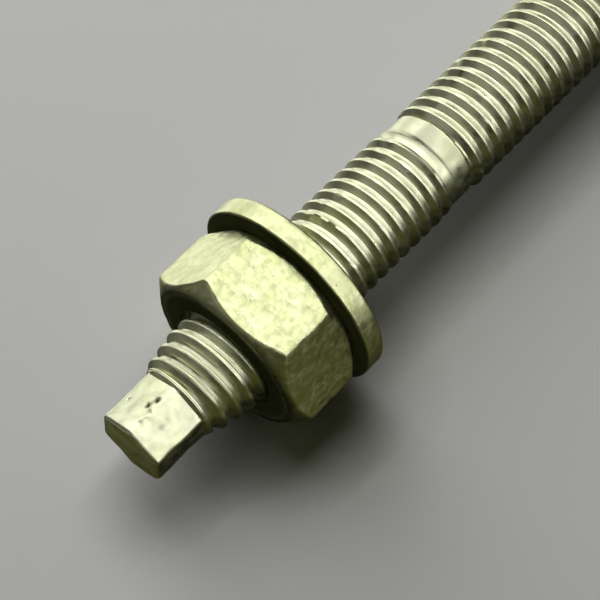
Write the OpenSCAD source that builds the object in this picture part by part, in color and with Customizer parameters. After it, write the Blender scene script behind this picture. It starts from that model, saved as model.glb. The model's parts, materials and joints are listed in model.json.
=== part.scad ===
// Anchor stud with its hexagon nut and flat washer, lying on its washer's rim and its tip.
// The stud is drawn along Z from its drive end, and laid down as the last step.

/* [Thread] */
// Diameter over the crests of the thread
thread_d = 10; // [8:0.05:12]
// Distance from one crest to the next
thread_pitch = 1.5; // [1.25:0.25:1.75]

/* [Stud] */
// Length from the drive end to the tip
stud_len = 130; // [90:1:190]
// Length of the chamfer at the tip
tip_chamfer = 0.8; // [0.4:0.1:1.5]
// Distance from the drive end to the thread below the depth mark
mark_at = 40.65; // [36:0.05:60]
// Length of the plain collar that marks the depth
collar_len = 2.1; // [1:0.1:4]
// Height of the crests above the plain collar
collar_drop = 0.3; // [0.1:0.05:0.4]
// Length of the groove below the collar
groove_len = 0.35; // [0.2:0.05:0.8]
// Depth of the groove below the collar's surface
groove_depth = 0.4; // [0.2:0.05:0.6]

/* [Drive end] */
// Width of the drive hexagon across its flats
drive_af = 6.7; // [5:0.1:7.5]
// Length of the drive hexagon
drive_len = 5.1; // [4:0.1:6]
// Length of the neck that widens from the hexagon to the thread
neck_len = 0.8; // [0.4:0.1:1.5]
// Width of the chamfer on the flats at the hexagon's end
drive_bevel = 0.15; // [0.05:0.05:0.3]
// Angle of that chamfer from the end face
drive_bevel_angle = 30; // [20:1:45]
// Turn of the hexagon about the stud
drive_turn = 1; // [0:1:60]

/* [Nut] */
// Width of the nut across its flats
nut_af = 16.6; // [15:0.1:17]
// Height of the nut
nut_h = 8.1; // [6:0.1:10]
// Distance from the drive end to the nut's outer face
nut_at = 11.65; // [8:0.05:14]
// Width of the chamfer on the nut's flats
nut_bevel = 0.35; // [0.2:0.05:0.8]
// Angle of the nut's chamfer from its end faces
nut_bevel_angle = 40; // [20:1:45]
// Width of the countersink round the nut's hole
nut_sink = 0.45; // [0.2:0.05:0.8]
// Turn of the nut about the stud
nut_turn = 38.6; // [0:0.1:60]
// Room between the crests and the nut's hole
nut_clear = 0.1; // [0.05:0.01:0.2]

/* [Washer] */
// Outer diameter of the washer
washer_d = 20; // [18:0.1:24]
// Thickness of the washer
washer_t = 2.1; // [1.5:0.1:3]
// Room between the crests and the washer's hole
washer_clear = 0.25; // [0.15:0.05:0.6]
// Width of the bevel on the washer's edges
washer_bevel = 0.15; // [0.05:0.05:0.3]

/* [Hidden] */
$fn = 96;

// Half angle of the thread's flanks, and half the angle of a hexagon's side
flank_angle = 30;
side_angle = 30;
// Turns of the rod and of the washer about the stud, so that their faceted outlines lie on a flat
rod_turn = 4.09;
washer_turn = 1.8;

// Standard thread form: the flats at the crest and at the root are shares of the pitch
crest_share = 1 / 8;
root_share = 1 / 4;
crest_w = thread_pitch * crest_share;
root_w = thread_pitch * root_share;
flank_w = (thread_pitch - crest_w - root_w) / 2;
crest_r = thread_d / 2;
root_r = crest_r - flank_w / tan(flank_angle);

thread_at = drive_len + neck_len;
collar_r = crest_r - collar_drop;
collar_at = mark_at - groove_len - collar_len;
groove_r = collar_r - groove_depth;
upper_ridges = floor((collar_at - thread_at) / thread_pitch);
lower_ridges = floor((stud_len - tip_chamfer - mark_at) / thread_pitch);
// Height of the low first ridge, where the thread starts
start_r = (crest_r + root_r) / 2;

washer_at = nut_at + nut_h;
washer_r = washer_d / 2;
// The loose washer stands a little high on the stud, which lies in the bottom of the washer's hole
lift_share = 0.8;
washer_lift = washer_clear * lift_share;

// The places that touch the floor: the washer's rim and the last crest at the tip
rest_r = washer_r - washer_lift;
rim_rest = washer_at + washer_t - washer_bevel;
tip_rest = ridge_below(lower_ridges - 1) + crest_w / 2;
lean = atan((rest_r - crest_r) / (tip_rest - rim_rest));
axis_height = rim_rest * sin(lean) + rest_r * cos(lean);
middle = stud_len / 2 * cos(lean);

// Middle of a ridge, counted back from the collar or on from the mark
function ridge_above(i) = collar_at - thread_pitch * (i + 1);
function ridge_below(i) = mark_at + thread_pitch * (i + 0.5);

// Outline of one ridge as [radius, height] points, from its near root to its far root
function ridge(z, top_r) =
    let (slope_w = (top_r - root_r) * tan(flank_angle))
    [
        [root_r, z - crest_w / 2 - slope_w],
        [top_r, z - crest_w / 2],
        [top_r, z + crest_w / 2],
        [root_r, z + crest_w / 2 + slope_w]
    ];

function join_points(lists) = [for (points = lists) for (p = points) p];

// Outline of a round solid whose end edges are cut back to a face radius, at one end or at both
function bevelled(outer_r, face_r, angle, height, far_end) =
    let (rise = (outer_r - face_r) * tan(angle))
    [
        [0, 0],
        [face_r, 0],
        [outer_r, rise],
        [outer_r, height - (far_end ? rise : 0)],
        [far_end ? face_r : outer_r, height],
        [0, height]
    ];

// Distance from the middle of a hexagon to its corners
function corner_r(across_flats) = across_flats / 2 / cos(side_angle);

// A hexagonal prism with its corners chamfered at one end or at both
module hexagon(across_flats, height, bevel, angle, far_end) {
    intersection() {
        cylinder(r = corner_r(across_flats), h = height, $fn = 6);
        rotate_extrude()
            polygon(bevelled(
                corner_r(across_flats),
                across_flats / 2 - bevel,
                angle,
                height,
                far_end
            ));
    }
}

// The round part of the stud: neck, thread, depth mark, thread and tip
module threaded_rod() {
    upper_thread = join_points([
        for (i = [upper_ridges - 1 : -1 : 0])
            ridge(ridge_above(i), i == upper_ridges - 1 ? start_r : crest_r)
    ]);
    lower_thread = join_points([for (i = [0 : lower_ridges - 1]) ridge(ridge_below(i), crest_r)]);
    depth_mark = [
        [root_r, collar_at - root_w],
        [collar_r, collar_at],
        [collar_r, mark_at - groove_len],
        [groove_r, mark_at - groove_len],
        [groove_r, mark_at],
        [root_r, mark_at]
    ];
    rotate_extrude()
        polygon(concat(
            [[0, drive_len], [drive_af / 2, drive_len], [root_r, thread_at]],
            upper_thread,
            depth_mark,
            lower_thread,
            [
                [root_r, stud_len - tip_chamfer],
                [root_r - tip_chamfer, stud_len],
                [0, stud_len]
            ]
        ));
}

// Lays what is drawn along Z on the floor, with the drive end towards -X
module laid_down() {
    translate([-middle, 0, axis_height])
        rotate([0, lean, 0])
            rotate([180, 0, 0])
                rotate([0, 90, 0])
                    children();
}

module stud() {
    color([0.68, 0.70, 0.52])
        laid_down() {
            union() {
                rotate([0, 0, drive_turn])
                    hexagon(drive_af, thread_at, drive_bevel, drive_bevel_angle, false);
                rotate([0, 0, rod_turn])
                    threaded_rod();
            }
        }
}

module nut() {
    hole_r = crest_r + nut_clear;
    sink_r = hole_r + nut_sink;
    color([0.74, 0.75, 0.55])
        laid_down()
            translate([0, 0, nut_at])
                rotate([0, 0, nut_turn])
                    difference() {
                        hexagon(nut_af, nut_h, nut_bevel, nut_bevel_angle, true);
                        rotate_extrude()
                            polygon([
                                [0, 0],
                                [sink_r, 0],
                                [hole_r, nut_sink],
                                [hole_r, nut_h - nut_sink],
                                [sink_r, nut_h],
                                [0, nut_h]
                            ]);
                    }
}

module washer() {
    hole_r = crest_r + washer_clear;
    color([0.78, 0.79, 0.62])
        laid_down()
            translate([washer_lift, 0, washer_at])
                rotate([0, 0, washer_turn])
                    rotate_extrude()
                        polygon([
                            [hole_r, 0],
                            [washer_r - washer_bevel, 0],
                            [washer_r, washer_bevel],
                            [washer_r, washer_t - washer_bevel],
                            [washer_r - washer_bevel, washer_t],
                            [hole_r, washer_t]
                        ]);
}

stud();
nut();
washer();
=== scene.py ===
"""Dresses the frame of an anchor stud: the threaded stud, its hexagon nut, its washer and a plain stage.

Each piece is drawn upright on a bench, in millimetres, along Z from the stud's drive end.
It is turned, milled and worn there, and is then laid down where the frame has it, in metres.
"""

import json
import math

import bmesh
import bpy
import numpy as np
from bpy.props import FloatProperty, FloatVectorProperty, PointerProperty
from mathutils import Matrix, Vector, noise


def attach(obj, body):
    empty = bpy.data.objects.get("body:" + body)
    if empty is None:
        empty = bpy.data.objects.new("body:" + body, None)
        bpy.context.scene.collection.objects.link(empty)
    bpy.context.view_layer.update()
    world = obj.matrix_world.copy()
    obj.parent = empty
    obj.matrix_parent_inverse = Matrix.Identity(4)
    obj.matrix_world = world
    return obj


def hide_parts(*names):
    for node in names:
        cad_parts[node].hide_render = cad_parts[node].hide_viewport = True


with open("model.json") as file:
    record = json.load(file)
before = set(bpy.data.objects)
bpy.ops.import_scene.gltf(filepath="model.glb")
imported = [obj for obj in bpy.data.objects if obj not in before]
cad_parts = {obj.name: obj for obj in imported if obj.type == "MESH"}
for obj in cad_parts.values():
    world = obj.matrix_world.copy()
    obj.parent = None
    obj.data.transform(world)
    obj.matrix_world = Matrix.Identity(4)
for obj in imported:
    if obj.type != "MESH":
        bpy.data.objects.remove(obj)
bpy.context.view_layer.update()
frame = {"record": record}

bl_info = {
    "name": "Anchor stud",
    "version": (1, 0, 0),
    "blender": (4, 5, 0),
    "location": "View3D > Sidebar > Anchor stud",
    "description": "Dresses the frame of an anchor stud with its nut and washer",
    "category": "Add Mesh",
}

# The stud's own axes in the frame, from the mount at its drive end: up, towards the viewer, to the tip
DRIVE_MOUNT = next(m for m in frame["record"]["mounts"] if m["name"] == "drive_hexagon")
DRIVE_END = Vector(DRIVE_MOUNT["pos_m"])
TO_TIP = -Vector(DRIVE_MOUNT["axis"])
TO_SIDE = Vector((0.0, -1.0, 0.0))
UPWARDS = TO_SIDE.cross(TO_TIP)
MM = 0.001
LAID_DOWN = Matrix((UPWARDS * MM, TO_SIDE * MM, TO_TIP * MM)).transposed().to_4x4()
LAID_DOWN.translation = DRIVE_END


def length(name, description, millimetres):
    """A property for a length, given in millimetres and kept in metres."""
    return FloatProperty(
        name=name,
        description=description,
        default=millimetres * MM,
        min=0.0,
        precision=5,
        unit="LENGTH",
    )


def turn(name, description, degrees):
    """A property for an angle, given in degrees."""
    return FloatProperty(
        name=name, description=description, default=math.radians(degrees), subtype="ANGLE"
    )


def share(name, description, default):
    """A property for a value between nought and one."""
    return FloatProperty(
        name=name, description=description, default=default, min=0.0, max=1.0, subtype="FACTOR"
    )


def brightness(name, description, default):
    """A property for the brightness of a light box."""
    return FloatProperty(name=name, description=description, default=default, min=0.0)


def colour(name, description, default):
    """A property for a colour, linear."""
    return FloatVectorProperty(
        name=name, description=description, default=default, size=3, min=0.0, max=1.0, subtype="COLOR"
    )


class StudSizes(bpy.types.PropertyGroup):
    """Sizes of the stud, measured along it from its drive end."""

    thread_d: length("Thread diameter", "Diameter over the crests", 10.0)
    pitch: length("Pitch", "Distance from one crest to the next", 1.5)
    crest_at: length("Crest", "Place of one crest's near edge in the upper thread, on its top side", 24.63)
    lower_shift: length("Lower thread", "How far the lower thread is out of step with the upper", 0.15)
    tip_at: length("Length", "Length from the drive end to the tip", 130.0)
    drive_af: length("Drive hexagon", "Width of the drive hexagon across its flats", 6.7)
    drive_turn: turn("Drive turn", "Turn of the drive hexagon's first flat from the top", -29.0)
    drive_coat: length("Drive coat", "Thickness of the coating on the drive end's face", 0.35)
    neck_at: length("Neck", "Place where the drive hexagon starts to widen", 5.3)
    thread_at: length("Thread start", "Place where the thread starts", 5.68)
    collar_at: length("Collar", "Place where the plain collar starts", 38.55)
    mark_at: length("Depth mark", "Place of the collar's far edge", 40.3)
    groove_len: length("Groove", "Length of the groove behind the collar", 0.35)
    collar_drop: length("Collar drop", "Height of the crests above the collar", 0.3)
    groove_depth: length("Groove depth", "Depth of the groove below the collar", 0.4)
    tip_chamfer: length("Tip chamfer", "Length of the chamfer at the tip", 0.8)


class NutSizes(bpy.types.PropertyGroup):
    """Sizes of the nut."""

    across_flats: length("Across flats", "Width of the nut across its flats", 16.6)
    height: length("Height", "Height of the nut", 8.1)
    near_face: length("Place", "Distance from the drive end to the nut's near face", 11.65)
    flat_turn: turn("Turn", "Turn of the nut's first flat from the top", 8.6)
    bevel: length("Chamfer", "Width of the chamfer on the flats", 0.35)
    bevel_angle: turn("Chamfer angle", "Angle of the chamfer from the nut's face", 40.0)
    sink: length("Countersink", "Width of the countersink round the hole", 0.5)
    room: length("Room", "Room between the nut's thread and the stud's", 0.1)


class WasherSizes(bpy.types.PropertyGroup):
    """Sizes of the washer."""

    diameter: length("Diameter", "Outer diameter of the washer", 20.0)
    hole_d: length("Hole", "Diameter of the washer's hole", 10.5)
    thickness: length("Thickness", "Thickness of the washer", 2.1)
    near_face: length("Place", "Distance from the drive end to the washer's near face", 19.75)
    edge_r: length("Edge", "Radius of the washer's rounded edges", 0.22)
    lift: length("Lift", "How far the loose washer stands above the stud's middle", 0.2)


class ZincFinish(bpy.types.PropertyGroup):
    """Look of the zinc coating."""

    pale: colour("Pale zinc", "Colour of the clean coating on the nut and the washer", (0.61, 0.63, 0.37))
    rolled_pale: colour("Pale rolled zinc", "Colour of the clean coating on the stud", (0.63, 0.65, 0.46))
    plain: colour("Plain zinc", "Colour of the coating on the stud's collar and hexagon", (0.58, 0.60, 0.42))
    olive: colour("Olive zinc", "Colour of the tinted patches", (0.46, 0.49, 0.22))
    # Also the colour of the painted shade on the near faces of nut and washer
    dark: colour("Dark pits", "Colour of pits and dirt", (0.032, 0.038, 0.013))
    roughness: share("Roughness", "Roughness of the coating on the nut and the washer", 0.36)
    rolled: share("Rolled roughness", "Roughness of the coating on the rolled thread", 0.33)


class StageSettings(bpy.types.PropertyGroup):
    """Camera, light and floor."""

    floor: colour("Floor", "Colour of the floor", (0.93, 0.93, 0.925))
    sheen: colour("Sheen", "Colour of what the floor sends back to metal at a flat angle", (0.90, 0.90, 0.86))
    # Painted shade: reflections see the floor in this darker colour, not in its own
    dim: colour("Dim floor", "Colour of the floor as metal mirrors it from above", (0.27, 0.27, 0.06))
    backdrop: colour("Backdrop", "Colour of what is seen past the floor", (0.62, 0.62, 0.62))
    gloom: colour("Gloom", "Colour of the dim light from all round", (1.0, 1.0, 0.3))
    surroundings: share("Surroundings", "Strength of the light from all round", 0.015)
    top_light: brightness("Top light", "Brightness of the box above", 2.7)
    fill_light: brightness("Fill light", "Brightness of the boxes at the right", 2.1)
    side_light: brightness("Side light", "Brightness of the box at the left", 2.0)
    front_light: brightness("Front light", "Brightness of the box in front", 0.45)
    back_light: brightness("Back light", "Brightness of the box behind the viewer", 0.9)
    focal_length: FloatProperty(
        name="Focal length", description="Focal length of the camera", default=112.07, unit="CAMERA"
    )
    camera_at: FloatVectorProperty(
        name="Camera",
        description="Place of the camera",
        default=(-0.0946, -0.0469, 0.1657),
        subtype="TRANSLATION",
        unit="LENGTH",
    )
    look: FloatVectorProperty(
        name="View",
        description="Direction of the view",
        default=(0.2947, 0.2694, -0.9168),
        subtype="DIRECTION",
    )


class Bench:
    """A property group's lengths in millimetres, and its other values as they are."""

    def __init__(self, group):
        for key, prop in group.bl_rna.properties.items():
            if prop.type == "FLOAT":
                value = getattr(group, key)
                setattr(self, key, value / MM if prop.unit == "LENGTH" else value)


def only(piece, mode="OBJECT"):
    """Makes a piece the only one selected, in the given mode."""
    if bpy.context.object and bpy.context.object.mode != "OBJECT":
        bpy.ops.object.mode_set(mode="OBJECT")
    bpy.ops.object.select_all(action="DESELECT")
    piece.select_set(True)
    bpy.context.view_layer.objects.active = piece
    bpy.ops.object.mode_set(mode=mode)


def draw_profile(name, points):
    """Draws an open line through points given as radius and height, by extruding one vertex on and on."""
    bpy.ops.object.select_all(action="DESELECT")
    bpy.ops.mesh.primitive_plane_add(enter_editmode=True)
    bpy.ops.mesh.select_mode(type="VERT")
    bpy.ops.mesh.select_all(action="SELECT")
    bpy.ops.mesh.merge(type="CENTER")
    last = Vector((0.0, 0.0, 0.0))
    for number, (radius, height) in enumerate(points):
        place = Vector((radius, 0.0, height))
        if number == 0:
            bpy.ops.transform.translate(value=place - last)
        else:
            bpy.ops.mesh.extrude_vertices_move(TRANSFORM_OT_translate={"value": place - last})
        last = place
    bpy.ops.object.mode_set(mode="OBJECT")
    piece = bpy.context.object
    piece.name = name
    piece.data.name = name
    return piece


def turn_profile(name, points, steps, pitch=0.0, turns=1):
    """Turns a profile about the axis, as on a lathe, or with a pitch as in a thread roller."""
    piece = draw_profile(name, points)
    screw = piece.modifiers.new("Turn", "SCREW")
    screw.axis = "Z"
    screw.angle = math.tau
    screw.screw_offset = pitch
    screw.iterations = turns
    screw.steps = steps
    screw.render_steps = steps
    bpy.ops.object.modifier_apply(modifier="Turn")
    only(piece, "EDIT")
    bpy.ops.mesh.select_all(action="SELECT")
    bpy.ops.mesh.remove_doubles(threshold=0.002)
    bpy.ops.object.mode_set(mode="OBJECT")
    return piece


def cut_across(piece, height, drop=""):
    """Cuts a piece across its axis, and drops what lies below or above the cut if asked to."""
    only(piece, "EDIT")
    bpy.ops.mesh.select_all(action="SELECT")
    bpy.ops.mesh.bisect(
        plane_co=(0.0, 0.0, height),
        plane_no=(0.0, 0.0, 1.0),
        clear_inner=drop == "below",
        clear_outer=drop == "above",
        threshold=0.0005,
    )
    bpy.ops.object.mode_set(mode="OBJECT")


def places_of(piece):
    """The piece's vertices as an array."""
    places = np.empty(len(piece.data.vertices) * 3)
    piece.data.vertices.foreach_get("co", places)
    return places.reshape(-1, 3)


def radii_of(places):
    """Distances of places from the axis."""
    return np.hypot(places[:, 0], places[:, 1])


def move_to(piece, places):
    """Moves the piece's vertices to the given places."""
    piece.data.vertices.foreach_set("co", places.ravel())
    piece.data.update()


def reshape(piece, rule):
    """Moves each vertex to the radius and height that a rule gives for its radius, angle and height."""
    places = places_of(piece)
    angle = np.arctan2(places[:, 1], places[:, 0])
    radius, height = rule(radii_of(places), angle, places[:, 2])
    move_to(piece, np.column_stack((radius * np.cos(angle), radius * np.sin(angle), height)))


def push_along_normals(piece, amount):
    """Moves each vertex along its normal by the amount that a rule gives for its place."""
    normals = np.empty(len(piece.data.vertices) * 3)
    piece.data.vertices.foreach_get("normal", normals)
    places = places_of(piece)
    move_to(piece, places + normals.reshape(-1, 3) * amount(places)[:, None])


def lumps(places, size, seed):
    """Smooth noise from minus one to one, with lumps of the given size."""
    shift = Vector((seed * 7.3, seed * 3.1, seed * 5.7))
    return np.array([noise.noise(Vector(place) / size + shift) for place in places])


def dents(places, marks):
    """Hollows at the given marks, each a centre, a radius and a depth, as a negative height."""
    hollow = np.zeros(len(places))
    for centre, radius, depth in marks:
        gap = np.linalg.norm(places - np.array(centre), axis=1) / radius
        hollow = np.minimum(hollow, -depth * np.clip(1.0 - gap * gap, 0.0, None) ** 2)
    return hollow


def paint_dirt_and_shade(piece, amount):
    """Writes how dark each vertex is painted, from nought to one: dirt in the drive end's pits, painted shade
    on the near faces of nut and washer.
    """
    dirt = piece.data.attributes.new("dirt", "FLOAT", "POINT")
    dirt.data.foreach_set("value", amount)


def lower_of(first, second, blend):
    """The lower of two values, rounded where they cross."""
    gap = np.clip(blend - np.abs(first - second), 0.0, None)
    return np.minimum(first, second) - gap * gap / (4.0 * blend)


def hexagon_radius(angle, across_flats, first_flat, sharpness):
    """Radius of a hexagon with rounded corners at an angle."""
    total = 0.0
    for side in range(6):
        facing = np.cos(angle - first_flat - side * math.tau / 6)
        total = total + np.clip(facing, 0.0, None) ** sharpness
    return across_flats / 2 / total ** (1.0 / sharpness)


def corner_radius(across_flats):
    """Distance from the middle of a hexagon to its sharp corners."""
    return across_flats / 2 / math.cos(math.tau / 12)


def arc(centre, radius, start, end, count):
    """Points on an arc, from one angle in degrees to another."""
    return [
        (centre[0] + radius * math.cos(math.radians(a)), centre[1] + radius * math.sin(math.radians(a)))
        for a in np.linspace(start, end, count)
    ]


def straight(start, end, spacing):
    """Points on a straight line, without its first one."""
    count = max(1, round(math.dist(start, end) / spacing))
    return [tuple(np.array(start) + (np.array(end) - start) * i / count) for i in range(1, count + 1)]


def pick_open_edges(piece, low, high):
    """Selects the open edges between two heights, in edit mode."""
    only(piece, "EDIT")
    bpy.ops.mesh.select_mode(type="EDGE")
    bpy.ops.mesh.select_all(action="DESELECT")
    sheet = bmesh.from_edit_mesh(piece.data)
    for edge in sheet.edges:
        middle = (edge.verts[0].co.z + edge.verts[1].co.z) / 2
        if edge.is_boundary and low <= middle <= high:
            edge.select_set(True)
    bmesh.update_edit_mesh(piece.data)


def join_rims(piece, height, reach):
    """Bridges the two open rims that lie within reach of a height."""
    pick_open_edges(piece, height - reach, height + reach)
    bpy.ops.mesh.bridge_edge_loops()
    bpy.ops.object.mode_set(mode="OBJECT")


def join_pieces(piece, other):
    """Joins another piece into a piece."""
    only(piece)
    other.select_set(True)
    bpy.ops.object.join()


def turn_outwards(piece):
    """Turns all faces outwards, and stays in edit mode."""
    only(piece, "EDIT")
    bpy.ops.mesh.select_all(action="SELECT")
    bpy.ops.mesh.normals_make_consistent(inside=False)


def close_up(piece, smooth_angle):
    """Turns all faces outwards, smooths the shading and makes sure that no edge is open."""
    turn_outwards(piece)
    sheet = bmesh.from_edit_mesh(piece.data)
    loose = sum(1 for edge in sheet.edges if len(edge.link_faces) != 2)
    bpy.ops.object.mode_set(mode="OBJECT")
    if loose:
        raise RuntimeError(f"{piece.name} has {loose} edges that aren't closed")
    bpy.ops.object.shade_smooth_by_angle(angle=math.radians(smooth_angle))


def lay_down(piece, body, material):
    """Lays a piece where the frame has its node, and lets it stand for that node."""
    only(piece)
    piece.matrix_world = LAID_DOWN
    bpy.ops.object.transform_apply(location=True, rotation=True, scale=True)
    piece.data.materials.clear()
    piece.data.materials.append(material)
    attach(piece, body)
    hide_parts(body)


class Thread:
    """The form of the stud's thread, in millimetres, for the stud and for the nut on it."""

    STEPS = 72
    # The coating fills the roots, so that the thread is less deep than a cut one
    DEPTH_SHARE = 0.367
    # One pitch, as shares of it from a crest's near edge, with the share of the depth there
    PROFILE = np.array((
        (-0.480, 0.00),
        (-0.365, 0.01),
        (-0.330, 0.05),
        (-0.285, 0.16),
        (-0.030, 0.93),
        (-0.008, 0.985),
        (0.010, 1.00),
        (0.110, 1.01),
        (0.205, 0.99),
        (0.228, 0.95),
        (0.335, 0.06),
        (0.360, 0.01),
        (0.520, 0.00),
    ))

    def __init__(self, size):
        self.pitch = size.pitch
        self.crest_at = size.crest_at
        self.crest_r = size.thread_d / 2
        self.depth = size.pitch * self.DEPTH_SHARE
        self.root_r = self.crest_r - self.depth

    def sleeve(self, name, low, high, room=0.0):
        """A helical sleeve that covers the stretch between two heights, open at both ends."""
        first = self.crest_at - self.pitch * math.ceil((self.crest_at - low) / self.pitch + 1)
        turns = math.ceil((high - first) / self.pitch) + 1
        offsets = self.PROFILE[:, 0] * self.pitch
        radii = self.root_r + self.depth * self.PROFILE[:, 1] + room
        piece = turn_profile(name, list(zip(radii, first + offsets)), self.STEPS, self.pitch, turns)
        cut_across(piece, low, "below")
        cut_across(piece, high, "above")
        return piece


def add_stud(size):
    """The stud: helical thread, depth mark and tip, joined to the worn drive hexagon."""
    thread = Thread(size)
    collar_r = thread.crest_r - size.collar_drop
    groove_r = collar_r - size.groove_depth
    groove_end = size.mark_at + size.groove_len
    wall = 0.05
    # The neck ends in a narrow round land, a little higher, from which the thread rises
    neck_rise = 0.50
    land_rise = 0.07
    neck_r = size.drive_af / 2 + neck_rise
    land_r = neck_r + land_rise
    land_at = size.thread_at + 0.03
    land_end = land_at + 0.12
    land_foot = land_at + 0.22
    # The thread's roots fill up towards the collar over the fade, which ends a run-out before it
    fade = 2.0
    run_out = 0.15
    # How much lower the thread is at distances from its start
    taper = np.array(((0.0, 0.85), (0.82, 0.60), (2.42, 0.28), (3.92, 0.0)))
    roof = np.array((
        (size.thread_at, neck_r),
        (land_at, land_r),
        (land_at + 0.15, land_r),
        (land_at + 0.70, neck_r + 0.65),
        (land_at + 1.30, thread.crest_r),
        (size.collar_at - fade, thread.crest_r),
        (size.collar_at - run_out, collar_r),
        (size.mark_at, collar_r),
        (size.mark_at + wall, groove_r),
        (groove_end, groove_r),
        (groove_end + wall, thread.crest_r),
        (size.tip_at - 2 * size.tip_chamfer, thread.crest_r),
        (size.tip_at, thread.root_r - size.tip_chamfer),
    ))
    floor = np.array((
        (size.thread_at, neck_r),
        (land_at, land_r),
        (land_end, land_r),
        (land_foot, 0.0),
        (size.collar_at - 1.4 * fade, 0.0),
        (size.collar_at - fade, thread.root_r),
        (size.collar_at - run_out, collar_r),
        (size.mark_at, collar_r),
        (size.mark_at + wall, groove_r),
        (groove_end, groove_r),
        (groove_end + wall, 0.0),
    ))

    def step_lower(radius, angle, height):
        """Shifts the lower thread out of step with the upper."""
        beyond = np.clip((height - size.collar_at) / (size.mark_at - size.collar_at), 0.0, 1.0)
        fade_out = np.clip((size.tip_at - height) / thread.pitch, 0.0, 1.0)
        return radius, height + size.lower_shift * beyond * fade_out

    def trim(radius, angle, height):
        """Tapers the thread's start and keeps the thread between the envelope's floor and roof."""
        radius = radius - np.interp(height - size.thread_at, taper[:, 0], taper[:, 1])
        kept = np.minimum(radius, np.interp(height, roof[:, 0], roof[:, 1]))
        kept = np.maximum(kept, np.interp(height, floor[:, 0], floor[:, 1]))
        return kept, height

    piece = thread.sleeve("threaded_stud", size.thread_at, size.tip_at)
    reshape(piece, step_lower)
    for height in (land_at, land_end, land_foot, size.mark_at, size.mark_at + wall, groove_end):
        cut_across(piece, height)
    wear_crests(piece, thread, size)
    reshape(piece, trim)
    drive = add_drive_end(size, neck_r)
    join_pieces(piece, drive)
    join_rims(piece, size.thread_at, 0.5)
    pick_open_edges(piece, size.tip_at - 0.1, size.tip_at + 0.1)
    bpy.ops.mesh.edge_face_add()
    close_up(piece, 24)
    map_thread(piece, thread, size)
    return piece


def wear_crests(piece, thread, size):
    """Dents the crests here and there and makes the rolled flanks a little uneven."""
    draw = np.random.default_rng(11)
    count = 240
    heights = draw.uniform(size.thread_at, size.tip_at, count)
    angles = draw.uniform(-math.pi, math.pi, count)
    turns = np.round((heights - thread.crest_at) / thread.pitch - angles / math.tau)
    heights = thread.crest_at + thread.pitch * (turns + angles / math.tau)
    widths = draw.uniform(0.35, 0.8, count)
    depths = draw.uniform(0.06, 0.22, count)
    # Sharper nicks that catch the eye, each a height and an angle from the top in degrees
    nicks = np.array((
        (27.2, -43.0),
        (30.2, -40.0),
        (30.3, -24.0),
        (29.0, -24.0),
        (25.9, -24.0),
        (26.0, -5.0),
        (26.1, 17.0),
        (35.2, 7.0),
        (37.7, 34.0),
        (37.5, 44.0),
        (44.5, 31.0),
    ))
    nick_width = 0.30
    nick_depth = 0.25
    heights = np.append(heights, nicks[:, 0])
    angles = np.append(angles, np.radians(nicks[:, 1]))
    widths = np.append(widths, np.full(len(nicks), nick_width))
    depths = np.append(depths, np.full(len(nicks), nick_depth))
    places = places_of(piece)
    hollow = np.zeros(len(places))
    for height, angle, width, depth in zip(heights, angles, widths, depths):
        near = np.abs(places[:, 2] - height) < width
        centre = np.array((math.cos(angle), math.sin(angle), 0.0)) * thread.crest_r
        centre[2] = height
        hollow[near] = np.minimum(hollow[near], dents(places[near], [(centre, width, depth)]))
    radius = radii_of(places)
    rise = np.clip((radius - thread.root_r) / thread.depth, 0.0, 1.0)
    waves = 0.03 * (0.5 + 0.5 * lumps(places, 1.4, 2))
    change = rise * (hollow - waves)
    places[:, :2] *= (1 + change / radius)[:, None]
    move_to(piece, places)


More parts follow.
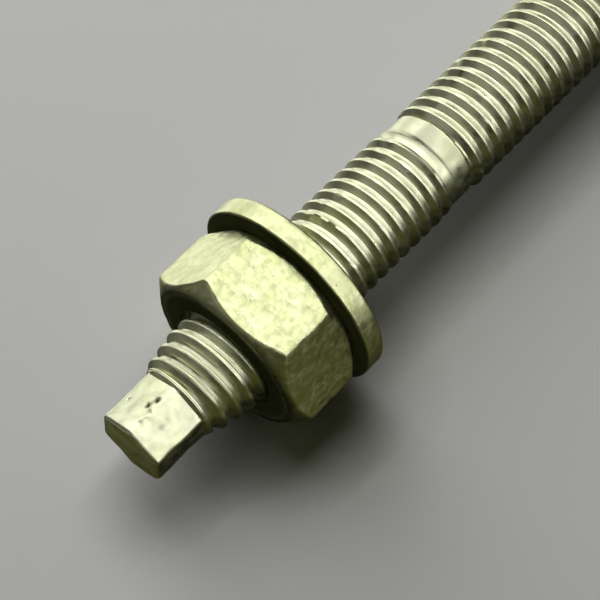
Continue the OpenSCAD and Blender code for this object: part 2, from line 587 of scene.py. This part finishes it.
def add_drive_end(size, neck_r):
    """The worn drive hexagon and the neck that widens to the thread."""
    rim = 0.32
    sharpness = 24
    blank_r = corner_radius(size.drive_af) + 0.15
    end = size.thread_at - 0.08
    points = [(0.0, 0.0)]
    points += straight((0.0, 0.0), (blank_r - rim, 0.0), 0.3)
    points += arc((blank_r - rim, rim), rim, -90, 0, 7)[1:]
    points += straight((blank_r, rim), (blank_r, size.neck_at), 0.13)
    points += straight((blank_r, size.neck_at), (neck_r, end), 0.09)
    piece = turn_profile("drive_end", points, 3 * Thread.STEPS)
    # Each an angle from the top in degrees, a height, a radius and a depth
    worn_pits = (
        (-5.0, 3.50, 0.50, 0.15),
        (-8.0, 3.10, 0.36, 0.09),
        (-10.5, 2.65, 0.50, 0.15),
        (-2.0, 2.2, 0.50, 0.07),
        (1.0, 1.4, 0.55, 0.07),
        (26.0, 2.4, 0.70, 0.06),
        (-50.0, 2.3, 0.20, 0.14),
    )
    end_pits = (((-1.46, -0.3, 0.0), 0.36, 0.16), ((-1.97, 0.48, 0.0), 0.36, 0.16))

    def mill(radius, angle, height):
        """Mills six worn flats, which run out into the round neck."""
        flats = hexagon_radius(angle, size.drive_af, size.drive_turn, sharpness)
        run_out = np.clip((height - size.neck_at) / (end - size.neck_at), 0.0, 1.0)
        run_out = run_out * run_out * (3 - 2 * run_out)
        scale = np.where(radius < blank_r - rim, radius / (blank_r - rim), 1.0)
        inset = np.where(height < rim, rim - np.sqrt(np.clip(rim**2 - (rim - height) ** 2, 0.0, None)), 0.0)
        side = (flats - inset) * (1 - run_out) + neck_r * run_out
        near = np.clip(1.0 - height / size.neck_at, 0.0, 1.0)
        return np.where(height <= 0.0, scale * (flats - rim), side), height - size.drive_coat * near

    reshape(piece, mill)
    turn_outwards(piece)
    bpy.ops.object.mode_set(mode="OBJECT")
    marks = []
    for degrees, height, radius, depth in worn_pits:
        angle = math.radians(degrees)
        out = float(hexagon_radius(np.array([angle]), size.drive_af, size.drive_turn, sharpness)[0])
        marks.append(((out * math.cos(angle), out * math.sin(angle), height), radius, depth))
    places = places_of(piece)
    ragged = places + 0.20 * np.column_stack([lumps(places, 0.9, seed) for seed in (21, 22, 23)])
    hollow = dents(ragged, (*marks, *end_pits))
    dirt_per_depth = 12.0
    cleaned_off = 0.5
    paint_dirt_and_shade(piece, np.clip(-dirt_per_depth * hollow - cleaned_off, 0.0, 0.9))

    def worn(places):
        """Lumps of the coating and pits, fading out at the neck."""
        fade = np.clip((end - places[:, 2]) / 0.4, 0.0, 1.0)
        return fade * (0.10 * lumps(places, 1.9, 1) + 0.03 * lumps(places, 0.9, 4) + hollow)

    push_along_normals(piece, worn)
    return piece


def map_thread(piece, thread, size):
    """Maps the surface along and across the thread, and marks where it is rolled."""
    mesh = piece.data
    places = places_of(piece)
    rolled_at = np.array((
        (size.thread_at, 0.0),
        (size.thread_at + 0.3, 1.0),
        (size.collar_at - 1.0, 1.0),
        (size.collar_at, 0.0),
        (size.mark_at, 0.0),
        (size.mark_at + 0.5, 1.0),
    ))
    rolled = mesh.attributes.new("rolled", "FLOAT", "POINT")
    rolled.data.foreach_set("value", np.interp(places[:, 2], rolled_at[:, 0], rolled_at[:, 1]))
    angles = np.arctan2(places[:, 1], places[:, 0])
    corners = np.empty(len(mesh.loops), dtype=np.int32)
    mesh.loops.foreach_get("vertex_index", corners)
    corner_counts = np.empty(len(mesh.polygons), dtype=np.int32)
    mesh.polygons.foreach_get("loop_total", corner_counts)
    faces = np.repeat(np.arange(len(corner_counts)), corner_counts)
    corner_angle = angles[corners]
    # A face that crosses the back has its corners counted on past half a turn
    back = np.zeros(len(corner_counts), dtype=bool)
    np.logical_or.at(back, faces, corner_angle > math.pi * 0.75)
    corner_angle = np.where(back[faces] & (corner_angle < 0), corner_angle + math.tau, corner_angle)
    across = places[corners, 2] - thread.pitch * corner_angle / math.tau
    layer = mesh.uv_layers.new(name="along_thread")
    flat = np.column_stack((corner_angle * thread.crest_r, across)) * 0.01
    layer.data.foreach_set("uv", flat.ravel())


def add_nut(size, stud_size):
    """The nut: a turned blank with six milled flats, and a thread that runs on the stud's."""
    thread = Thread(stud_size)
    near, far = size.near_face, size.near_face + size.height
    face_r = size.across_flats / 2 - size.bevel
    sink_r = thread.crest_r + size.room + size.sink
    blank_r = corner_radius(size.across_flats) + 0.2
    rise = (blank_r - face_r) * math.tan(size.bevel_angle)
    points = [(sink_r, near)]
    points += straight((sink_r, near), (face_r, near), 0.3)
    points += straight((face_r, near), (blank_r, near + rise), 0.12)
    points += straight((blank_r, near + rise), (blank_r, far - rise), 0.14)
    points += straight((blank_r, far - rise), (face_r, far), 0.12)
    points += straight((face_r, far), (sink_r, far), 0.3)
    piece = turn_profile("hex_nut", points, 240)

    def mill(radius, angle, height):
        """Mills the six flats."""
        flats = hexagon_radius(angle, size.across_flats, size.flat_turn, 70)
        return lower_of(radius, flats, 0.18), height

    def sink(radius, angle, height):
        """Countersinks both ends of the hole."""
        from_end = np.minimum(height - near, far - height)
        return np.maximum(radius, sink_r - 0.12 - from_end), height

    def uneven(places):
        """Slow waves of the coating, outside the hole only."""
        outside = np.clip((radii_of(places) - sink_r) / 1.0, 0.0, 1.0)
        return outside * (0.04 * lumps(places, 2.6, 5) + 0.035 * lumps(places, 0.9, 6))

    reshape(piece, mill)
    hole = thread.sleeve("nut_hole", near, far, size.room)
    reshape(hole, sink)
    join_pieces(piece, hole)
    join_rims(piece, near, 0.1)
    join_rims(piece, far, 0.1)
    close_up(piece, 35)
    push_along_normals(piece, uneven)
    # Painted shade on the near face and on the foot of its chamfer, darkest by the hole
    painted_shade_end = near + 0.5
    painted_shade_fade = 0.4
    painted_shade_width = 2.8
    places = places_of(piece)
    on_face = np.clip((painted_shade_end - places[:, 2]) / painted_shade_fade, 0.0, 1.0)
    by_hole = np.clip(1.5 - (radii_of(places) - sink_r) / painted_shade_width, 0.1, 0.97)
    paint_dirt_and_shade(piece, on_face * by_hole)
    return piece


def add_washer(size):
    """The washer, with rounded and slightly uneven edges."""
    near, far = size.near_face, size.near_face + size.thickness
    inner, outer, edge = size.hole_d / 2, size.diameter / 2, size.edge_r
    points = arc((inner + edge, near + edge), edge, 180, 270, 5)
    points += straight(points[-1], (outer - edge, near), 0.4)
    points += arc((outer - edge, near + edge), edge, -90, 0, 5)[1:]
    points += straight(points[-1], (outer, far - edge), 0.2)
    points += arc((outer - edge, far - edge), edge, 0, 90, 5)[1:]
    points += straight(points[-1], (inner + edge, far), 0.4)
    points += arc((inner + edge, far - edge), edge, 90, 180, 5)[1:]
    points += straight(points[-1], points[0], 0.4)
    piece = turn_profile("flat_washer", points, 216)
    close_up(piece, 50)

    def uneven(places):
        """Waves of the coating and small knocks along the edges."""
        outside = np.clip((radii_of(places) - inner - 0.5) / 1.0, 0.0, 1.0)
        return outside * (0.035 * lumps(places, 2.2, 8) + 0.02 * lumps(places, 0.7, 9))

    push_along_normals(piece, uneven)
    # Painted shade on the near face, which lies in the nut's shadow, up to its rounded edge
    painted_shade_end = near + 0.18
    painted_shade_fade = 0.12
    painted_shade_r = outer - 0.02
    rim_fade = 0.15
    places = places_of(piece)
    on_face = np.clip((painted_shade_end - places[:, 2]) / painted_shade_fade, 0.0, 1.0)
    inside_rim = np.clip((painted_shade_r - radii_of(places)) / rim_fade, 0.0, 0.95)
    paint_dirt_and_shade(piece, on_face * inside_rim)
    only(piece, "EDIT")
    bpy.ops.mesh.select_all(action="SELECT")
    bpy.ops.transform.translate(value=(size.lift, 0.0, 0.0))
    bpy.ops.object.mode_set(mode="OBJECT")
    return piece


def feed(tree, socket, value):
    """Links an input to another socket, or sets it to a plain value."""
    if isinstance(value, bpy.types.NodeSocket):
        tree.links.new(value, socket)
    else:
        socket.default_value = value


def add_node(tree, kind, feeds=None, **options):
    """Adds a node, sets its options and feeds its inputs."""
    node = tree.nodes.new(kind)
    for key, value in options.items():
        setattr(node, key, value)
    for key, value in (feeds or {}).items():
        feed(tree, node.inputs[key], value)
    return node


def calculate(tree, operation, first, second, use_clamp=False):
    """The result of a sum on two sockets or numbers."""
    feeds = {0: first, 1: second}
    return add_node(tree, "ShaderNodeMath", feeds, operation=operation, use_clamp=use_clamp).outputs[0]


def ramp(tree, value, start, end, low=0.0, high=1.0):
    """Goes from low to high while a value goes from start to end."""
    feeds = {"Value": value, "From Min": start, "From Max": end, "To Min": low, "To Max": high}
    return add_node(tree, "ShaderNodeMapRange", feeds).outputs[0]


def rgba(colour_or_socket):
    """A colour with its alpha, or a socket as it is."""
    if isinstance(colour_or_socket, bpy.types.NodeSocket):
        return colour_or_socket
    return (*colour_or_socket, 1.0)


def mixed_colour(tree, share_of, first, second):
    """A colour that goes from the first to the second with a share; either may be a socket."""
    feeds = {"Factor": share_of, 6: rgba(first), 7: rgba(second)}
    return add_node(tree, "ShaderNodeMix", feeds, data_type="RGBA").outputs[2]


def mixed_shader(tree, share_of, first, second):
    """A shader node that goes from the first to the second with a share."""
    feeds = {0: share_of, 1: first.outputs[0], 2: second.outputs[0]}
    return add_node(tree, "ShaderNodeMixShader", feeds)


def new_group(name, inputs, outputs):
    """A shader node group with named sockets, given as socket types."""
    group = bpy.data.node_groups.new(name, "ShaderNodeTree")
    for key, kind in inputs.items():
        group.interface.new_socket(key, in_out="INPUT", socket_type=kind)
    for key, kind in outputs.items():
        group.interface.new_socket(key, in_out="OUTPUT", socket_type=kind)
    return group, group.nodes.new("NodeGroupInput").outputs, group.nodes.new("NodeGroupOutput").inputs


def add_group(tree, name, maker, feeds):
    """Adds a shared group to a material and feeds it; the group is made when it is first needed."""
    shared = bpy.data.node_groups.get(name) or maker(name)
    return add_node(tree, "ShaderNodeGroup", feeds, node_tree=shared).outputs


def zinc_patches_group(name):
    """Patches of tint and of gloss in a zinc coating, with the lumps that go with them."""
    group, given, made = new_group(
        name,
        {"Vector": "NodeSocketVector", "Size": "NodeSocketFloat", "Contrast": "NodeSocketFloat"},
        {"Tint": "NodeSocketFloat", "Gloss": "NodeSocketFloat", "Height": "NodeSocketFloat"},
    )
    fineness = 3.1
    fine_height = 0.4
    scale = calculate(group, "DIVIDE", 1.0, given["Size"])
    fine_scale = calculate(group, "MULTIPLY", scale, fineness)
    broad_feeds = {"Vector": given["Vector"], "Scale": scale, "Detail": 4.0}
    broad = add_node(group, "ShaderNodeTexNoise", broad_feeds).outputs["Fac"]
    fine_feeds = {"Vector": given["Vector"], "Scale": fine_scale, "Detail": 3.0}
    fine = add_node(group, "ShaderNodeTexNoise", fine_feeds).outputs["Fac"]
    tint = ramp(group, broad, 0.35, 0.70)
    feed(group, made["Tint"], calculate(group, "MULTIPLY", tint, given["Contrast"]))
    feed(group, made["Gloss"], ramp(group, fine, 0.30, 0.70))
    small = calculate(group, "MULTIPLY", fine, fine_height)
    feed(group, made["Height"], calculate(group, "ADD", broad, small))
    return group


def pits_group(name):
    """Small dark pits scattered over a coating."""
    group, given, made = new_group(
        name,
        {"Vector": "NodeSocketVector", "Size": "NodeSocketFloat", "Amount": "NodeSocketFloat"},
        {"Mask": "NodeSocketFloat"},
    )
    rarest = 0.80
    steepness = 18.0
    scale = calculate(group, "DIVIDE", 1.0, given["Size"])
    grain_feeds = {"Vector": given["Vector"], "Scale": scale, "Detail": 2.0}
    grain = add_node(group, "ShaderNodeTexNoise", grain_feeds).outputs["Fac"]
    above = calculate(group, "SUBTRACT", grain, calculate(group, "SUBTRACT", rarest, given["Amount"]))
    feed(group, made["Mask"], calculate(group, "MULTIPLY", above, steepness, use_clamp=True))
    return group


def zinc(name, finish, pale, roughness, patch_size, contrast, pit_amount, bump, streaks=False):
    """Hot-dip zinc with a yellow-green tint: patches, pits, dull dirt and painted shade, and streaks along a
    thread.
    """
    material = bpy.data.materials.new(name)
    material.use_nodes = True
    tree = material.node_tree
    shader = tree.nodes["Principled BSDF"]
    shader.inputs["Specular IOR Level"].default_value = 0.0
    where = tree.nodes.new("ShaderNodeTexCoord").outputs["Object"]
    patch_feeds = {"Vector": where, "Size": patch_size * MM, "Contrast": contrast}
    patches = add_group(tree, "Zinc patches", zinc_patches_group, patch_feeds)
    pit_feeds = {"Vector": where, "Size": 0.5 * MM, "Amount": pit_amount}
    pits = add_group(tree, "Pits", pits_group, pit_feeds)
    height = patches["Height"]
    if streaks:
        rolled = add_node(tree, "ShaderNodeAttribute", attribute_name="rolled").outputs["Fac"]
        pale = mixed_colour(tree, rolled, finish.plain, pale)
        along = add_node(tree, "ShaderNodeUVMap", uv_map="along_thread").outputs["UV"]
        stretch = add_node(tree, "ShaderNodeMapping", {"Vector": along, "Scale": (30.0, 900.0, 1.0)})
        line_feeds = {"Vector": stretch.outputs["Vector"], "Scale": 1.0, "Detail": 3.0}
        lines = add_node(tree, "ShaderNodeTexNoise", line_feeds).outputs["Fac"]
        height = calculate(tree, "ADD", calculate(tree, "MULTIPLY", lines, rolled), height)
    base = mixed_colour(tree, patches["Tint"], pale, finish.olive)
    base = mixed_colour(tree, pits["Mask"], base, finish.dark)
    # Darkens by the painted shade on the near faces of nut and washer and by the dirt in the drive end's pits
    dirt = add_node(tree, "ShaderNodeAttribute", attribute_name="dirt").outputs["Fac"]
    feed(tree, shader.inputs["Base Color"], mixed_colour(tree, dirt, base, finish.dark))
    # Thick dirt and painted shade are dull, and what has less of them is still metal
    feed(tree, shader.inputs["Metallic"], ramp(tree, dirt, 0.92, 0.72))
    uneven = ramp(tree, patches["Gloss"], 0.0, 1.0, 0.80 * roughness, 1.35 * roughness)
    feed(tree, shader.inputs["Roughness"], uneven)
    raised_feeds = {"Height": height, "Strength": bump, "Distance": 0.12 * MM}
    raised = add_node(tree, "ShaderNodeBump", raised_feeds)
    feed(tree, shader.inputs["Normal"], raised.outputs["Normal"])
    return material


def mirrored_floor(tree, settings, along, across):
    """The floor as metal mirrors it, a dim copy with a painted shadow: nearly dark by the stud, dim in front
    and at the nut's right.
    """
    painted_shadow_dim = [0.10 * part for part in settings.dim]
    right = ramp(tree, across, -0.010, -0.030)
    beside_nut = ramp(tree, along, -0.020, -0.045)
    in_front = ramp(tree, along, -0.062, -0.074, high=0.70)
    right_of_nut = calculate(tree, "MULTIPLY", right, beside_nut)
    lit = calculate(tree, "MAXIMUM", right_of_nut, in_front)
    return mixed_colour(tree, lit, painted_shadow_dim, settings.dim)


def outside_painted_shadow(tree, across):
    """Share of the floor outside its painted contact shadow: one where the floor lies open, and less close to
    the part on its shaded side.
    """
    reach = 0.010
    depth = 2.0
    near_by = add_node(tree, "ShaderNodeAmbientOcclusion", {"Distance": reach}, samples=8)
    contact = calculate(tree, "POWER", near_by.outputs["AO"], depth)
    lit_side = ramp(tree, across, -0.002, 0.004)
    return calculate(tree, "MAXIMUM", contact, lit_side)


def floor_grey(settings):
    """Dull grey with a painted contact shadow, that melts into the backdrop far off; metal mirrors it dim
    with a painted shadow by the stud, and satin at the left.
    """
    material = bpy.data.materials.new("floor_grey")
    material.use_nodes = True
    tree = material.node_tree
    path = tree.nodes.new("ShaderNodeLightPath").outputs
    mirrored = path["Is Glossy Ray"]
    where = tree.nodes.new("ShaderNodeTexCoord").outputs["Object"]
    apart = add_node(tree, "ShaderNodeSeparateXYZ", {"Vector": where}).outputs
    along, across = apart["X"], apart["Y"]

    dull = tree.nodes["Principled BSDF"]
    dull.inputs["Roughness"].default_value = 0.9
    dull.inputs["Specular IOR Level"].default_value = 0.1
    seen = mixed_colour(tree, mirrored, settings.floor, mirrored_floor(tree, settings, along, across))
    # Painted contact shadow: the floor's colour goes nearly black close to the part on its shaded side
    shade = [0.02 * part for part in settings.floor]
    feed(tree, dull.inputs["Base Color"], mixed_colour(tree, outside_painted_shadow(tree, across), shade, seen))

    satin_feeds = {"Color": rgba(settings.sheen), "Roughness": 0.3}
    satin = add_node(tree, "ShaderNodeBsdfAnisotropic", satin_feeds)
    facing = add_node(tree, "ShaderNodeLayerWeight", {"Blend": 0.5}).outputs["Facing"]
    flat = ramp(tree, facing, 0.15, 0.50)
    left = ramp(tree, across, -0.004, 0.010)
    satin_left = calculate(tree, "MULTIPLY", flat, left)
    surface = mixed_shader(tree, calculate(tree, "MULTIPLY", satin_left, mirrored), dull, satin)

    away = add_node(tree, "ShaderNodeVectorMath", {0: where}, operation="LENGTH").outputs["Value"]
    melted = calculate(tree, "MULTIPLY", ramp(tree, away, 0.16, 0.50), path["Is Camera Ray"])
    haze = add_node(tree, "ShaderNodeEmission", {"Color": rgba(settings.backdrop)})
    surface = mixed_shader(tree, melted, surface, haze)
    feed(tree, tree.nodes["Material Output"].inputs["Surface"], surface.outputs[0])
    return material


class ANCHOR_OT_stage(bpy.types.Operator):
    """Adds the floor, the soft light and the camera"""

    bl_idname = "anchor_stud.add_stage"
    bl_label = "Add stage"

    def execute(self, context):
        settings = context.scene.anchor_stage
        self.add_floor(settings)
        self.add_surroundings(context, settings)
        self.add_lights(context, settings)
        self.add_camera(context, settings)
        context.scene.view_settings.view_transform = "Standard"
        return {"FINISHED"}

    def add_floor(self, settings):
        """A wide plain floor."""
        bpy.ops.object.select_all(action="DESELECT")
        bpy.ops.mesh.primitive_plane_add(size=6.0, location=(0.0, 0.0, 0.0))
        floor = bpy.context.object
        floor.name = "floor"
        floor.data.materials.append(floor_grey(settings))

    def add_surroundings(self, context, settings):
        """Even light from all round, with a pale backdrop for what looks past the floor."""
        world = bpy.data.worlds.new("surroundings")
        context.scene.world = world
        world.use_nodes = True
        tree = world.node_tree
        background = tree.nodes["Background"]
        background.inputs["Color"].default_value = rgba(settings.gloom)
        background.inputs["Strength"].default_value = settings.surroundings
        seen = add_node(tree, "ShaderNodeBackground", {"Color": rgba(settings.backdrop)})
        path = tree.nodes.new("ShaderNodeLightPath").outputs
        mix = mixed_shader(tree, path["Is Camera Ray"], background, seen)
        feed(tree, tree.nodes["World Output"].inputs["Surface"], mix.outputs[0])

    def add_lights(self, context, settings):
        """Large soft boxes above, at the right and at the left, with dimmer ones in front and behind."""
        # Each a name, a place, turns in degrees, a size, a brightness and whether it lights the floor
        boxes = (
            ("top_box", (0.08, 0.22, 0.45), (0.0, 0.0, 0.0), (0.27, 0.46), settings.top_light, True),
            ("fill_box", (0.12, -0.36, 0.45), (0.0, 0.0, 0.0), (0.36, 0.70), settings.fill_light, False),
            ("low_box", (0.35, -1.56, 0.45), (0.0, 0.0, 0.0), (0.90, 1.70), settings.fill_light, False),
            ("side_box", (0.15, 0.45, 0.25), (-90.0, 0.0, 0.0), (0.44, 0.40), settings.side_light, True),
            ("front_box", (-0.60, 0.30, 0.33), (0.0, -61.0, 0.0), (0.30, 0.80), settings.front_light, False),
            ("back_box", (-0.45, -0.45, 0.60), (46.7, 0.0, -45.0), (0.40, 0.40), settings.back_light, False),
        )
        for name, place, turned, size, radiance, lights_floor in boxes:
            light = bpy.data.lights.new(name, "AREA")
            light.shape = "RECTANGLE"
            light.size, light.size_y = size
            light.energy = radiance * math.pi * size[0] * size[1]
            lamp = bpy.data.objects.new(name, light)
            context.scene.collection.objects.link(lamp)
            lamp.location = place
            lamp.rotation_euler = [math.radians(angle) for angle in turned]
            lamp.visible_camera = False
            lamp.visible_diffuse = lights_floor

    def add_camera(self, context, settings):
        """The camera, at the place and angle of the photograph."""
        lens = bpy.data.cameras.new("camera")
        lens.lens = settings.focal_length
        lens.sensor_width = 36.0
        lens.clip_start = 0.005
        camera = bpy.data.objects.new("camera", lens)
        context.scene.collection.objects.link(camera)
        camera.location = settings.camera_at
        camera.rotation_euler = Vector(settings.look).to_track_quat("-Z", "Y").to_euler()
        context.scene.camera = camera


class ANCHOR_OT_stud(bpy.types.Operator):
    """Adds the stud with its drive hexagon, thread and depth mark"""

    bl_idname = "anchor_stud.add_stud"
    bl_label = "Add stud"

    def execute(self, context):
        scene = context.scene
        finish = scene.anchor_finish
        piece = add_stud(Bench(scene.anchor_stud))
        material = zinc(
            "stud_zinc",
            finish,
            finish.rolled_pale,
            finish.rolled,
            patch_size=3.0,
            contrast=0.35,
            pit_amount=0.05,
            bump=0.14,
            streaks=True,
        )
        lay_down(piece, "stud", material)
        return {"FINISHED"}


class ANCHOR_OT_nut(bpy.types.Operator):
    """Adds the hexagon nut on the stud's upper thread"""

    bl_idname = "anchor_stud.add_nut"
    bl_label = "Add nut"

    def execute(self, context):
        scene = context.scene
        finish = scene.anchor_finish
        piece = add_nut(Bench(scene.anchor_nut), Bench(scene.anchor_stud))
        material = zinc(
            "nut_zinc",
            finish,
            finish.pale,
            finish.roughness,
            patch_size=1.8,
            contrast=0.8,
            pit_amount=0.04,
            bump=0.9,
        )
        lay_down(piece, "nut", material)
        return {"FINISHED"}


class ANCHOR_OT_washer(bpy.types.Operator):
    """Adds the flat washer behind the nut"""

    bl_idname = "anchor_stud.add_washer"
    bl_label = "Add washer"

    def execute(self, context):
        scene = context.scene
        finish = scene.anchor_finish
        piece = add_washer(Bench(scene.anchor_washer))
        material = zinc(
            "washer_zinc",
            finish,
            finish.pale,
            finish.roughness,
            patch_size=1.8,
            contrast=0.6,
            pit_amount=0.06,
            bump=0.5,
        )
        lay_down(piece, "washer", material)
        return {"FINISHED"}


class ANCHOR_PT_panel(bpy.types.Panel):
    """Sidebar panel with the stud's sizes and steps"""

    bl_idname = "ANCHOR_PT_panel"
    bl_label = "Anchor stud"
    bl_space_type = "VIEW_3D"
    bl_region_type = "UI"
    bl_category = "Anchor stud"

    def draw(self, context):
        for step in STEPS:
            self.layout.operator(step.bl_idname)
        for key, group in GROUPS.items():
            box = self.layout.box()
            for name in group.__annotations__:
                box.prop(getattr(context.scene, key), name)


STEPS = (ANCHOR_OT_stage, ANCHOR_OT_stud, ANCHOR_OT_nut, ANCHOR_OT_washer)
GROUPS = {
    "anchor_stud": StudSizes,
    "anchor_nut": NutSizes,
    "anchor_washer": WasherSizes,
    "anchor_finish": ZincFinish,
    "anchor_stage": StageSettings,
}


def register():
    """Registers the classes and hangs the property groups on the scene."""
    for group in GROUPS.values():
        bpy.utils.register_class(group)
    for key, group in GROUPS.items():
        setattr(bpy.types.Scene, key, PointerProperty(type=group))
    for step in (*STEPS, ANCHOR_PT_panel):
        bpy.utils.register_class(step)


def unregister():
    """Takes everything away again."""
    for step in (ANCHOR_PT_panel, *STEPS):
        bpy.utils.unregister_class(step)
    for key, group in GROUPS.items():
        delattr(bpy.types.Scene, key)
        bpy.utils.unregister_class(group)


def main():
    """Builds the stage and the pieces."""
    register()
    bpy.ops.anchor_stud.add_stage()
    bpy.ops.anchor_stud.add_stud()
    bpy.ops.anchor_stud.add_nut()
    bpy.ops.anchor_stud.add_washer()


if __name__ == "__main__":
    main()
